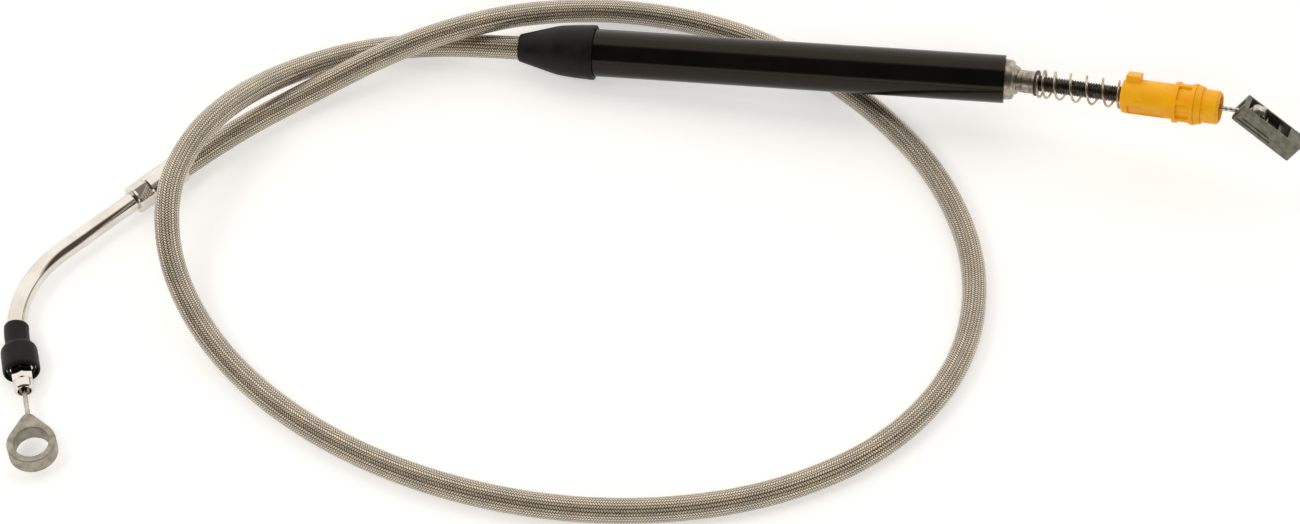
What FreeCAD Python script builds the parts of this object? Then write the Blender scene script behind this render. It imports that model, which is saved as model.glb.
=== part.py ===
import FreeCAD, Part
import math
import os
import re

from FreeCAD import Placement, Rotation, Vector

# A braided push-pull control cable: a sheathed inner wire, a chrome elbow with
# a ring eyelet at the lever end, and a long black barrel with a sprung yellow
# adjuster and a hooked link at the release end. It lies on a table, +Z up.
# Lengths are millimetres and angles are degrees.

SIZES = [
    # Inner wire and the layers of the sheathed casing, outside diameters and walls
    ("wire_diameter", 1.8),
    ("liner_bore", 2.6),
    ("liner_diameter", 3.7),
    ("conduit_wall", 0.75),
    ("inner_jacket_wall", 0.55),
    ("braid_wall", 0.45),
    ("jacket_wall", 0.30),
    ("layer_gap", 0.15),
    # Small clearances
    ("running_gap", 0.05),
    ("seat_gap", 0.05),
    ("slip_gap", 0.10),
    # Elbow at the lever end
    ("elbow_diameter", 7.0),
    ("elbow_wall", 1.0),
    ("elbow_radius", 42.0),
    ("elbow_turn", 58.0),
    ("elbow_run", 34.0),
    ("elbow_bearing", 45.0),
    ("elbow_height", 6.6),
    ("elbow_liner_diameter", 4.7),
    ("collar_east", -192.0),
    ("collar_north", 19.0),
    # Crimped collar that joins the elbow to the casing
    ("collar_hex", 9.4),
    ("collar_hex_length", 6.5),
    ("collar_rim", 10.6),
    ("collar_rim_length", 1.2),
    ("collar_diameter", 11.2),
    ("collar_length", 22.5),
    ("collar_shoulder", 8.0),
    ("collar_chamfer", 0.6),
    # Nose ferrule, its seal and its rubber boot
    ("socket_depth", 6.7),
    ("flange_start", 5.3),
    ("flange_end", 13.6),
    ("flange_diameter", 11.4),
    ("nose_hex", 7.0),
    ("nose_hex_length", 5.9),
    ("nose_diameter", 7.0),
    ("nose_length", 4.0),
    ("nose_bore", 5.0),
    ("nose_bore_depth", 5.0),
    ("nose_chamfer", 0.5),
    ("seal_thickness", 0.9),
    ("boot_neck_wall", 0.95),
    ("boot_neck_turn", 7.5),
    ("boot_diameter", 13.2),
    ("boot_mouth", 15.0),
    ("boot_shoulder", 3.4),
    ("boot_slope", 1.8),
    ("boot_lip", 0.7),
    ("boot_bead", 0.5),
    # Lever wire and ring eyelet
    ("free_wire", 12.0),
    ("lever_travel", 8.5),
    ("wire_slack", 0.5),
    ("eyelet_reach", 12.4),
    ("eyelet_diameter", 17.2),
    ("eyelet_hole", 12.0),
    ("eyelet_thickness", 6.5),
    ("eyelet_tip", 2.6),
    ("eyelet_socket", 3.6),
    # Long barrel at the release end
    ("barrel_east", 129.5),
    ("barrel_north", 63.9),
    ("barrel_height", 23.0),
    ("barrel_bearing", -8.75),
    ("barrel_pitch", 4.3),
    ("barrel_diameter", 18.0),
    ("barrel_wall", 1.6),
    ("barrel_length", 167.0),
    ("plug_flange_diameter", 17.2),
    ("plug_flange", 1.4),
    ("plug_length", 15.0),
    ("casing_seat", 7.0),
    ("guide_diameter", 6.0),
    ("guide_bore", 3.0),
    # Rubber boot over the barrel's casing end
    ("barrel_boot_length", 29.3),
    ("barrel_boot_overlap", 12.3),
    ("barrel_boot_mouth", 10.6),
    ("barrel_boot_step", 18.8),
    ("barrel_boot_diameter", 20.8),
    ("barrel_boot_cone", 15.0),
    ("barrel_boot_throat", 8.0),
    ("barrel_boot_ledge", 1.0),
    ("barrel_boot_lip", 0.4),
    ("barrel_boot_flare", 0.25),
    # Ball swivel of the adjuster stud in the barrel's end
    ("ball_diameter", 11.6),
    ("ball_offset", 2.0),
    ("bush_diameter", 15.0),
    ("bush_face", 3.6),
    ("bush_spigot", 3.0),
    ("bush_chamfer", 1.4),
    ("seat_length", 12.0),
    ("seat_guide_depth", 4.5),
    ("stud_bearing", -18.67),
    ("stud_pitch", 9.32),
    # Adjuster stud, washer and spring
    ("shank_diameter", 8.4),
    ("shank_end", 9.7),
    ("stud_diameter", 6.0),
    ("stud_end", 58.0),
    ("stud_bore", 2.8),
    ("stud_chamfer", 0.6),
    ("washer_diameter", 9.6),
    ("washer_thickness", 0.8),
    ("spring_diameter", 10.8),
    ("spring_wire", 0.9),
    ("spring_turned", 8.0),
    ("first_turns", 1.0),
    ("first_pitch", 1.9),
    ("second_turns", 1.0),
    ("second_pitch", 4.3),
    ("open_turns", 4.0),
    ("open_pitch", 6.1),
    ("last_turns", 0.5),
    ("last_pitch", 1.0),
    # Yellow adjuster housing, its jaws and its lock ring
    ("housing_diameter", 13.0),
    ("housing_bore", 6.8),
    ("body_length", 19.3),
    ("neck_diameter", 11.6),
    ("ring_length", 7.9),
    ("ring_diameter", 15.2),
    ("ring_rim", 1.5),
    ("ring_pocket_depth", 1.1),
    ("ring_rib", 1.6),
    ("ring_ribs", 6),
    ("ring_turned", 43.0),
    ("nozzle_cone", 2.4),
    ("nozzle_cone_diameter", 14.8),
    ("nozzle_cone_top", 13.8),
    ("nozzle_length", 8.8),
    ("nozzle_diameter", 12.4),
    ("nozzle_chamfer", 0.8),
    ("nozzle_bore", 9.0),
    ("nozzle_bore_depth", 7.0),
    ("housing_chamfer", 0.8),
    ("lug_length", 5.2),
    ("lug_width", 5.6),
    ("lug_height", 2.0),
    ("lug_start", 1.2),
    ("lug_turned", -30.0),
    ("recess_length", 13.4),
    ("recess_width", 6.2),
    ("recess_depth", 1.2),
    ("recess_start", 2.8),
    ("recess_turned", 104.0),
    ("jaw_start", 6.0),
    ("jaw_length", 10.0),
    ("jaw_diameter", 8.8),
    ("jaw_split", 1.2),
    # Release wire, nipple, link and retainer
    ("release_wire_start", 10.0),
    ("nipple_reach", 13.2),
    ("nipple_ball", 6.2),
    ("nipple_collar", 5.2),
    ("nipple_length", 3.2),
    ("link_bearing", -27.0),
    ("link_pitch", -26.5),
    ("link_head", 6.0),
    ("link_length", 26.1),
    ("link_width", 7.8),
    ("link_wall", 0.7),
    ("link_rim", 1.8),
    ("link_depth", 6.0),
    ("head_wall", 1.8),
    ("link_slot", 2.6),
    ("slot_top", 1.1),
    ("slot_reach", 5.0),
    ("chamber_end", 4.5),
    ("pocket_floor", 1.3),
    ("pocket_end", 9.8),
    ("web_length", 1.1),
    ("web_drop", 1.4),
    ("tail_wall", 6.2),
    ("link_corner", 0.9),
    ("rib_start", 4.6),
    ("rib_length", 15.0),
    ("rib_width", 0.6),
    ("rib_height", 0.35),
    ("rib_pitch", 1.5),
    ("clip_thickness", 0.5),
    ("clip_height", 4.6),
    ("retainer_gap", 0.15),
    ("retainer_height", 4.3),
    ("retainer_groove", 0.4),
]

# The casing's route between its straight ends: corners of the run, each given
# the widest arc that its two runs allow. It passes over itself in two low humps.
LEAD_IN = 36.0
LEAD_OUT = 28.0
ROUTE_MIDDLE = [
    (-129.4, 72.2, 7.2),
    (-97.4, 87.3, 14.8),
    (-66.8, 97.8, 17.5),
    (-42.4, 110.3, 9.5),
    (-11.4, 115.3, 4.5),
    (24.5, 106.9, 4.5),
    (57.4, 88.8, 4.5),
    (85.1, 62.1, 4.5),
    (106.1, 30.2, 4.5),
    (116.8, -10.8, 4.5),
    (109.3, -53.2, 4.5),
    (83.3, -87.3, 4.5),
    (44.3, -108.6, 4.5),
    (0.6, -116.9, 4.5),
    (-43.4, -114.5, 4.5),
    (-86.7, -101.7, 4.5),
    (-124.5, -80.2, 4.5),
    (-154.8, -51.3, 4.8),
    (-173.7, -20.9, 13.0),
    (-177.6, 6.2, 24.5),
    (-170.8, 30.1, 26.5),
    (-158.1, 51.5, 24.0),
    (-140.9, 75.7, 12.4),
    (-114.4, 94.0, 4.7),
    (-85.4, 97.7, 4.7),
]
ARC_SHARE = 0.45

doc = FreeCAD.newDocument("control_cable")
sheet = doc.addObject("Spreadsheet::Sheet", "sizes")
for row, (size_name, size_value) in enumerate(SIZES, start=1):
    sheet.set("A%d" % row, size_name)
    sheet.set("B%d" % row, str(size_value))
    sheet.setAlias("B%d" % row, size_name)
doc.recompute()

SIZE_NAMES = {size_name for size_name, _ in SIZES}


def size(name):
    """The value of one named cell of the sheet."""
    return float(getattr(sheet, name))


def bound(text):
    """The expression with each size's name pointed at the sheet."""
    return re.sub(
        r"[a-z][a-z_]*",
        lambda word: "sizes." + word.group(0) if word.group(0) in SIZE_NAMES else word.group(0),
        text,
    )


def bind(thing, path, text):
    thing.setExpression(path, bound(text))


# Frames: each fitting is turned about its own +Z and then laid along its axis.


def heading(bearing, pitch=0.0):
    """A unit direction from its bearing about +Z and its rise above the table."""
    b = math.radians(bearing)
    p = math.radians(pitch)
    return Vector(math.cos(b) * math.cos(p), math.sin(b) * math.cos(p), math.sin(p))


def laid_along(origin, axis):
    """A placement whose +Z runs along axis, and whose +X is the side facing up."""
    side = axis.cross(Vector(0, 0, 1)).normalize()
    up = side.cross(axis).normalize()
    return Placement(origin, Rotation(up, side, axis, "ZXY"))


def turned(angle, corner):
    """A placement turned about +Z that carries a block's low corner round with it."""
    turn = Rotation(Vector(0, 0, 1), angle)
    return Placement(turn.multVec(corner), turn)


collar_point = Vector(size("collar_east"), size("collar_north"), size("elbow_height"))
collar_axis = heading(size("elbow_bearing"))
collar_frame = laid_along(collar_point, collar_axis)

elbow_out = -collar_axis
elbow_start = collar_point + elbow_out * size("elbow_run")
elbow_left = Vector(0, 0, 1).cross(elbow_out)
elbow_centre = elbow_start + elbow_left * size("elbow_radius")
nose_bearing = size("elbow_bearing") + 180 + size("elbow_turn")
nose_axis = heading(nose_bearing)
nose_left = Vector(0, 0, 1).cross(nose_axis)
nose_point = elbow_centre - nose_left * size("elbow_radius")
nose_frame = laid_along(nose_point, nose_axis)

barrel_end = Vector(size("barrel_east"), size("barrel_north"), size("barrel_height"))
barrel_axis = heading(size("barrel_bearing"), size("barrel_pitch"))
barrel_frame = laid_along(barrel_end, barrel_axis)

ball_centre = barrel_end + barrel_axis * size("ball_offset")
stud_axis = heading(size("stud_bearing"), size("stud_pitch"))
stud_frame = laid_along(ball_centre, stud_axis)

swing_axis = barrel_axis.cross(stud_axis).normalize()
print("swivel centre", tuple(round(v, 3) for v in ball_centre))
print("swing axis", tuple(round(v, 5) for v in swing_axis))
print("swing at rest", round(math.degrees(barrel_axis.getAngle(stud_axis)), 2), "degrees")

parts = {}


def keep(label, thing, frame=None):
    """Register a finished sub-part under its own label, laid in its frame."""
    thing.Label = label
    if frame is not None:
        thing.Placement = frame
    parts[label] = thing
    return thing


# Sketches and features


def plane_of(body, role):
    return next(o for o in body.Origin.OriginFeatures if o.Role == role)


def new_sketch(body, name, role, shift=None):
    sketch = body.newObject("Sketcher::SketchObject", name)
    sketch.AttachmentSupport = [(plane_of(body, role), "")]
    sketch.MapMode = "FlatFace"
    if shift is not None:
        bind(sketch, "AttachmentOffset.Base.z", shift)
    return sketch


def pin_point(sketch, line, end, across, along):
    """Hold one corner of an outline at its two bound distances from the origin."""
    import Sketcher

    for kind, axis_line, text in (("DistanceX", -2, across), ("DistanceY", -1, along)):
        if text == "0":
            sketch.addConstraint(Sketcher.Constraint("PointOnObject", line, end, axis_line))
            continue
        value = evaluate(text)
        sketch.addConstraint(Sketcher.Constraint(kind, -1, 1, line, end, value))
        bind(sketch, "Constraints[%d]" % (sketch.ConstraintCount - 1), text)


def evaluate(text):
    """The number that a size expression comes to now."""
    total = sheet.evalExpression(re.sub(r"[a-z][a-z_]*", lambda w: w.group(0), text))
    return float(total)


def outline(sketch, corners):
    """A closed outline of straight lines through corners given as size expressions."""
    import Sketcher

    points = [Vector(evaluate(x), evaluate(y), 0) for x, y in corners]
    count = len(points)
    for k in range(count):
        sketch.addGeometry(Part.LineSegment(points[k], points[(k + 1) % count]), False)
    for k in range(count):
        sketch.addConstraint(Sketcher.Constraint("Coincident", k, 2, (k + 1) % count, 1))
    for k, (across, along) in enumerate(corners):
        pin_point(sketch, k, 1, across, along)


def turned_body(name, corners):
    """A body turned about +Z from an outline of (radius, height) corners."""
    body = doc.addObject("PartDesign::Body", name)
    sketch = new_sketch(body, name + "_profile", "XZ_Plane")
    outline(sketch, corners)
    turning = body.newObject("PartDesign::Revolution", name + "_turning")
    turning.Profile = sketch
    turning.ReferenceAxis = (sketch, ["V_Axis"])
    turning.Angle = 360
    sketch.Visibility = False
    return body


def primitive(kind, name, sizes, base=None, rotation=None):
    """A Part primitive whose properties are bound to size expressions."""
    thing = doc.addObject(kind, name)
    for path, text in sizes.items():
        bind(thing, path, text)
    if rotation is not None:
        thing.Placement = Placement(Vector(), rotation)
    for axis_name, text in (base or {}).items():
        bind(thing, "Placement.Base." + axis_name, text)
    return thing


def box(name, length, width, height, x, y, z):
    """A block with its low corner at x, y, z."""
    sizes = {"Length": length, "Width": width, "Height": height}
    return primitive("Part::Box", name, sizes, {"x": x, "y": y, "z": z})


def cylinder(name, radius, height, z="0", x="0", y="0", rotation=None):
    sizes = {"Radius": radius, "Height": height}
    return primitive("Part::Cylinder", name, sizes, {"x": x, "y": y, "z": z}, rotation)


def sphere(name, radius, z="0"):
    return primitive("Part::Sphere", name, {"Radius": radius}, {"x": "0", "y": "0", "z": z})


def cut(name, base, tool):
    result = doc.addObject("Part::Cut", name)
    result.Base = base
    result.Tool = tool
    return result


def joined(name, things):
    result = doc.addObject("Part::MultiFuse", name)
    result.Shapes = things
    return result


def hexagonal(name, across_flats, height, z):
    """A hexagonal prism about +Z."""
    sizes = {
        "Polygon": "6",
        "Circumradius": "(%s) / 2 / cos(30 deg)" % across_flats,
        "Height": height,
    }
    return primitive("Part::Prism", name, sizes, {"x": "0", "y": "0", "z": z})


# Paths of straight runs and tangent arcs


def path_wire(points):
    """One wire through the points, each corner rounded as widely as its runs allow."""
    edges = []
    radii = []
    here = points[0]
    for before, corner, after in zip(points, points[1:], points[2:]):
        run_in = corner - before
        run_out = after - corner
        turn = run_in.getAngle(run_out)
        setback = ARC_SHARE * min(run_in.Length, run_out.Length)
        radii.append(setback / math.tan(turn / 2))
        into = Vector(run_in).normalize()
        out = Vector(run_out).normalize()
        first = corner - into * setback
        last = corner + out * setback
        inward = (out - into).normalize()
        centre = corner + inward * math.hypot(radii[-1], setback)
        middle = centre - inward * radii[-1]
        edges.append(Part.LineSegment(here, first).toShape())
        edges.append(Part.Arc(first, middle, last).toShape())
        here = last
    edges.append(Part.LineSegment(here, points[-1]).toShape())
    return Part.Wire(edges), radii


def ring_tube(wire, start, axis, outer, inner):
    """A tube of ring section along a wire, or a rod where inner is 0."""
    shapes = []
    for radius in (outer, inner):
        if radius <= 0:
            continue
        circle = Part.Wire([Part.Circle(start, axis, radius).toShape()])
        shapes.append(wire.makePipeShell([circle], True, False))
    return shapes[0].cut(shapes[1]) if len(shapes) == 2 else shapes[0]


def feature(name, shape):
    thing = doc.addObject("Part::Feature", name)
    thing.Shape = shape
    return thing


# Casing: six layers on one route, from the collar's shoulder to the barrel's plug

casing_start = collar_point + collar_axis * (size("collar_shoulder") + size("seat_gap"))
casing_end_depth = size("barrel_length") - size("casing_seat")
casing_end = barrel_end - barrel_axis * casing_end_depth
lead_in = casing_start + collar_axis * LEAD_IN
lead_out = casing_end - barrel_axis * LEAD_OUT
corners = [lead_in] + [Vector(*point) for point in ROUTE_MIDDLE] + [lead_out]
route = [casing_start] + corners + [casing_end]
casing_wire_path, route_radii = path_wire(route)

liner_radius = size("liner_diameter") / 2
conduit_inner = liner_radius + size("layer_gap")
conduit_outer = conduit_inner + size("conduit_wall")
inner_jacket_inner = conduit_outer + size("layer_gap")
inner_jacket_outer = inner_jacket_inner + size("inner_jacket_wall")
braid_inner = inner_jacket_outer + size("layer_gap")
braid_outer = braid_inner + size("braid_wall")
jacket_inner = braid_outer + size("layer_gap")
jacket_outer = jacket_inner + size("jacket_wall")

LAYERS = [
    ("casing_wire", size("wire_diameter") / 2, 0.0),
    ("casing_liner", liner_radius, size("liner_bore") / 2),
    ("wound_conduit", conduit_outer, conduit_inner),
    ("inner_jacket", inner_jacket_outer, inner_jacket_inner),
    ("steel_braid", braid_outer, braid_inner),
    ("outer_jacket", jacket_outer, jacket_inner),
]


def make_casing():
    length = casing_wire_path.Length
    print("casing length", round(length, 1), "mm, outside diameter", round(2 * jacket_outer, 2))
    print("casing arc radii", [round(r, 1) for r in route_radii])
    for label, outer, inner in LAYERS:
        shape = ring_tube(casing_wire_path, casing_start, collar_axis, outer, inner)
        expected = math.pi * (outer**2 - inner**2) * length
        print(label, "volume over section times length", round(shape.Volume / expected, 4))
        keep(label, feature(label, shape))


# Elbow: bent tube, its liner and the wire in it


def elbow_path(begin, end):
    """Straight, arc and straight, from begin inside the collar to end in the ferrule."""
    first = collar_point + collar_axis * begin
    last = nose_point + nose_axis * end
    outward = (elbow_left + nose_left).normalize()
    middle = elbow_centre - outward * size("elbow_radius")
    edges = [
        Part.LineSegment(first, elbow_start).toShape(),
        Part.Arc(elbow_start, middle, nose_point).toShape(),
        Part.LineSegment(nose_point, last).toShape(),
    ]
    return Part.Wire(edges), first


def make_elbow():
    tube_radius = size("elbow_diameter") / 2
    seat = size("collar_shoulder") - size("seat_gap")
    depth = size("flange_start") + size("socket_depth") - size("seat_gap")
    wire, first = elbow_path(seat, depth)
    shape = ring_tube(wire, first, elbow_out, tube_radius, tube_radius - size("elbow_wall"))
    keep("elbow_tube", feature("elbow_tube", shape))

    liner = size("elbow_liner_diameter") / 2
    wire, first = elbow_path(seat, depth)
    shape = ring_tube(wire, first, elbow_out, liner, size("liner_bore") / 2)
    keep("elbow_liner", feature("elbow_liner", shape))

    wire, first = elbow_path(size("collar_shoulder"), size("flange_start"))
    shape = ring_tube(wire, first, elbow_out, size("wire_diameter") / 2, 0.0)
    keep("elbow_wire", feature("elbow_wire", shape))


def make_collar():
    """Chrome collar: a rim and a hexagon on the elbow's side, a sleeve on the casing."""
    sleeve = turned_body(
        "collar_sleeve",
        [
            ("0", "collar_hex_length"),
            ("collar_diameter / 2 - collar_chamfer", "collar_hex_length"),
            ("collar_diameter / 2", "collar_hex_length + collar_chamfer"),
            ("collar_diameter / 2", "collar_length - collar_chamfer"),
            ("collar_diameter / 2 - collar_chamfer", "collar_length"),
            ("0", "collar_length"),
        ],
    )
    nut = hexagonal("collar_nut", "collar_hex", "collar_hex_length + collar_chamfer", "0")
    rim = turned_body(
        "collar_rim_ring",
        [
            ("0", "0"),
            ("collar_rim / 2 - collar_chamfer / 2", "0"),
            ("collar_rim / 2", "collar_chamfer / 2"),
            ("collar_rim / 2", "collar_rim_length"),
            ("0", "collar_rim_length"),
        ],
    )
    solid = joined("collar_solid", [nut, rim, sleeve])
    casing_bore = cylinder(
        "collar_casing_bore",
        repr(jacket_outer) + " + slip_gap",
        "collar_length - collar_shoulder + 1",
        "collar_shoulder",
    )
    elbow_bore = cylinder(
        "collar_elbow_bore", "elbow_diameter / 2 + running_gap", "collar_shoulder + 2", "-1"
    )
    bores = joined("collar_bores", [casing_bore, elbow_bore])
    keep("crimp_collar", cut("crimp_collar", solid, bores), collar_frame)


def make_nose():
    """Ferrule on the elbow's end, with a hexagon, a round nose, a seal and a boot."""
    flange = turned_body(
        "nose_flange",
        [
            ("0", "flange_start"),
            ("flange_diameter / 2 - collar_chamfer", "flange_start"),
            ("flange_diameter / 2", "flange_start + collar_chamfer"),
            ("flange_diameter / 2", "flange_end - collar_chamfer"),
            ("flange_diameter / 2 - collar_chamfer", "flange_end"),
            ("0", "flange_end"),
        ],
    )
    nut = hexagonal("nose_nut", "nose_hex", "nose_hex_length + 1", "flange_end - 1")
    hex_top = "flange_end + nose_hex_length"
    nose_top = hex_top + " + nose_length"
    tip = turned_body(
        "nose_tip",
        [
            ("0", hex_top + " - 1"),
            ("nose_diameter / 2", hex_top + " - 1"),
            ("nose_diameter / 2", nose_top + " - nose_chamfer"),
            ("nose_diameter / 2 - nose_chamfer", nose_top),
            ("0", nose_top),
        ],
    )
    solid = joined("nose_solid", [flange, nut, tip])
    socket = cylinder(
        "nose_socket",
        "elbow_diameter / 2 + running_gap",
        "socket_depth + 1",
        "flange_start - 1",
    )
    passage = cylinder("nose_passage", "liner_bore / 2", nose_top, "0")
    mouth = cylinder(
        "nose_mouth", "nose_bore / 2", "nose_bore_depth + 1", nose_top + " - nose_bore_depth"
    )
    bores = joined("nose_bores", [socket, passage, mouth])
    keep("nose_ferrule", cut("nose_ferrule", solid, bores), nose_frame)

    seal = primitive(
        "Part::Torus",
        "nose_seal",
        {
            "Radius1": "nose_hex / 2 / cos(30 deg) + seal_thickness / 2 + seat_gap",
            "Radius2": "seal_thickness / 2",
        },
    )
    seal_height = size("flange_end") + size("seal_thickness") / 2 + size("seat_gap")
    keep("nose_seal", seal, nose_frame.multiply(Placement(Vector(0, 0, seal_height), Rotation())))


def make_nose_boot():
    """Rubber boot: a wide cup over the ferrule and a neck that follows the elbow."""
    cup = turned_body(
        "boot_cup",
        [
            ("0", "boot_shoulder"),
            ("elbow_diameter / 2 + boot_neck_wall + boot_bead", "boot_shoulder"),
            ("boot_diameter / 2", "boot_shoulder + boot_slope"),
            ("boot_diameter / 2", "boot_mouth - boot_lip"),
            ("boot_diameter / 2 - boot_lip / 2", "boot_mouth"),
            ("0", "boot_mouth"),
        ],
    )
    hollow = cylinder(
        "boot_hollow",
        "flange_diameter / 2 + slip_gap",
        "boot_mouth + 1",
        "flange_start - slip_gap",
    )
    into_nose = nose_frame.inverse()
    rim = nose_point - elbow_centre

    def bend(turn_back, radius):
        """A rod of the given radius that follows the elbow back from the nose."""
        swing = Rotation(Vector(0, 0, 1), -turn_back)
        half_way = Rotation(Vector(0, 0, 1), -turn_back / 2)
        far = into_nose.multVec(elbow_centre + swing.multVec(rim))
        middle = into_nose.multVec(elbow_centre + half_way.multVec(rim))
        far_axis = into_nose.Rotation.multVec(swing.multVec(nose_axis))
        curve = Part.Arc(far, middle, Vector()).toShape()
        way_in = Part.LineSegment(Vector(), Vector(0, 0, size("flange_start"))).toShape()
        return ring_tube(Part.Wire([curve, way_in]), far, far_axis, radius, 0.0)

    neck_radius = size("elbow_diameter") / 2 + size("boot_neck_wall")
    bore_radius = size("elbow_diameter") / 2 + size("slip_gap")
    neck = bend(size("boot_neck_turn"), neck_radius)
    bore = bend(size("boot_neck_turn") + 2, bore_radius)
    solid = joined("boot_solid", [cup, feature("boot_neck", neck)])
    tools = joined("boot_tools", [hollow, feature("boot_bore", bore)])
    keep("nose_boot", cut("nose_boot", solid, tools), nose_frame)


def make_lever_end():
    """The wire that slides out of the nose, and the cast ring on its end."""
    nose_end = size("flange_end") + size("nose_hex_length") + size("nose_length")
    tip = nose_end + size("free_wire")
    socket_floor = tip + size("eyelet_socket")
    inner_end = size("flange_start") + size("lever_travel") + size("wire_slack")
    wire = doc.addObject("Part::Cylinder", "lever_wire")
    bind(wire, "Radius", "wire_diameter / 2")
    bind(
        wire,
        "Height",
        "flange_end + nose_hex_length + nose_length + free_wire + eyelet_socket"
        " - flange_start - lever_travel - wire_slack",
    )
    keep(
        "lever_wire",
        wire,
        nose_frame.multiply(Placement(Vector(0, 0, inner_end), Rotation())),
    )

    radius = size("eyelet_diameter") / 2
    tip_radius = size("eyelet_tip")
    centre = Vector(0, 0, tip + size("eyelet_reach"))
    near = Vector(0, 0, tip + tip_radius)
    span = (centre - near).Length
    lean = math.asin((radius - tip_radius) / span)
    side = Vector(0, math.cos(lean), -math.sin(lean))
    mirror = Vector(0, -side.y, side.z)
    edges = [
        Part.LineSegment(near + side * tip_radius, centre + side * radius).toShape(),
        Part.Arc(
            centre + side * radius, centre + Vector(0, 0, radius), centre + mirror * radius
        ).toShape(),
        Part.LineSegment(centre + mirror * radius, near + mirror * tip_radius).toShape(),
        Part.Arc(
            near + mirror * tip_radius,
            near - Vector(0, 0, tip_radius),
            near + side * tip_radius,
        ).toShape(),
    ]
    thick = size("eyelet_thickness")
    half = Vector(-thick / 2, 0, 0)
    face = Part.Face(Part.Wire(edges))
    face.translate(half)
    blank = face.extrude(Vector(thick, 0, 0))
    hole = Part.makeCylinder(size("eyelet_hole") / 2, thick, centre + half, Vector(1, 0, 0))
    socket_radius = size("wire_diameter") / 2 + size("running_gap")
    socket = Part.makeCylinder(socket_radius, socket_floor - tip + 1, Vector(0, 0, tip - 1))
    ring = blank.cut(hole).cut(socket)
    rims = [
        e
        for e in ring.Edges
        if abs(abs(e.CenterOfMass.x) - thick / 2) < 1e-6 and e.Length > tip_radius
    ]
    ring = ring.makeFillet(min(0.5, tip_radius / 4), rims)
    keep("lever_eyelet", feature("lever_eyelet", ring), nose_frame)


# Barrel: tube, plug, guide, wire, swivel seat, bush and rubber boot


def make_barrel():
    back = "0 - barrel_length"
    bore = "barrel_diameter / 2 - barrel_wall"
    tube = turned_body(
        "barrel_tube",
        [
            (bore, back),
            ("barrel_diameter / 2", back),
            ("barrel_diameter / 2", "0"),
            (bore, "0"),
        ],
    )
    keep("barrel_tube", tube, barrel_frame)

    fit = bore + " - running_gap"
    casing_hole = repr(jacket_outer) + " + slip_gap"
    guide_hole = "guide_diameter / 2 + running_gap"
    seat = back + " + casing_seat + seat_gap"
    plug = turned_body(
        "barrel_plug",
        [
            (casing_hole, back + " - plug_flange"),
            ("plug_flange_diameter / 2", back + " - plug_flange"),
            ("plug_flange_diameter / 2", back + " - seat_gap"),
            (fit, back + " - seat_gap"),
            (fit, back + " + plug_length"),
            (guide_hole, back + " + plug_length"),
            (guide_hole, seat),
            (casing_hole, seat),
        ],
    )
    keep("barrel_plug", plug, barrel_frame)

    guide_start = seat + " + seat_gap"
    guide_end = "0 - seat_length + seat_guide_depth"
    guide = turned_body(
        "barrel_guide",
        [
            ("guide_bore / 2", guide_start),
            ("guide_diameter / 2", guide_start),
            ("guide_diameter / 2", guide_end),
            ("guide_bore / 2", guide_end),
        ],
    )
    keep("barrel_guide", guide, barrel_frame)

    wire = doc.addObject("Part::Cylinder", "barrel_wire")
    bind(wire, "Radius", "wire_diameter / 2")
    bind(wire, "Height", "barrel_length - casing_seat - seat_length + seat_guide_depth - 1")
    start = Placement(Vector(0, 0, -size("barrel_length") + size("casing_seat")), Rotation())
    keep("barrel_wire", wire, barrel_frame.multiply(start))

    cup = turned_body(
        "seat_blank",
        [
            (guide_hole, "0 - seat_length"),
            (fit, "0 - seat_length"),
            (fit, "0 - bush_spigot - seat_gap"),
            ("guide_bore / 2 + 1", "0 - bush_spigot - seat_gap"),
            ("guide_bore / 2 + 1", "0 - seat_length + seat_guide_depth + seat_gap"),
            (guide_hole, "0 - seat_length + seat_guide_depth + seat_gap"),
        ],
    )
    hollow = sphere("seat_hollow", "ball_diameter / 2 + running_gap", "ball_offset")
    keep("swivel_seat", cut("swivel_seat", cup, hollow), barrel_frame)

    disc = turned_body(
        "bush_blank",
        [
            ("0", "0 - bush_spigot"),
            (fit, "0 - bush_spigot"),
            (fit, "seat_gap"),
            ("bush_diameter / 2", "seat_gap"),
            ("bush_diameter / 2", "bush_face - bush_chamfer"),
            ("bush_diameter / 2 - bush_chamfer", "bush_face"),
            ("0", "bush_face"),
        ],
    )
    hollow = sphere("bush_hollow", "ball_diameter / 2 + running_gap", "ball_offset")
    keep("end_bush", cut("end_bush", disc, hollow), barrel_frame)


def make_barrel_boot():
    """Rubber boot over the barrel's end: a cone down to the casing."""
    lap = "0 - barrel_length + barrel_boot_overlap"
    start = lap + " - barrel_boot_length"
    step = start + " + barrel_boot_cone"
    shelf = "0 - barrel_length - plug_flange - slip_gap"
    casing_hole = repr(jacket_outer) + " + slip_gap"
    lip = "min(barrel_boot_lip; (barrel_boot_diameter - barrel_diameter - 2 * slip_gap) / 4)"
    boot = turned_body(
        "barrel_boot",
        [
            (casing_hole + " + barrel_boot_flare", start),
            ("barrel_boot_mouth / 2", start),
            ("barrel_boot_step / 2", step),
            ("barrel_boot_diameter / 2", step + " + barrel_boot_ledge"),
            ("barrel_boot_diameter / 2", lap + " - 1.5 * barrel_boot_lip"),
            ("barrel_boot_diameter / 2 - " + lip, lap),
            ("barrel_diameter / 2 + slip_gap", lap),
            ("barrel_diameter / 2 + slip_gap", shelf),
            (casing_hole, shelf + " - barrel_boot_throat"),
        ],
    )
    keep("barrel_boot", boot, barrel_frame)


# Adjuster: stud on its ball, washer, spring, housing, jaws and lock ring


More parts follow.
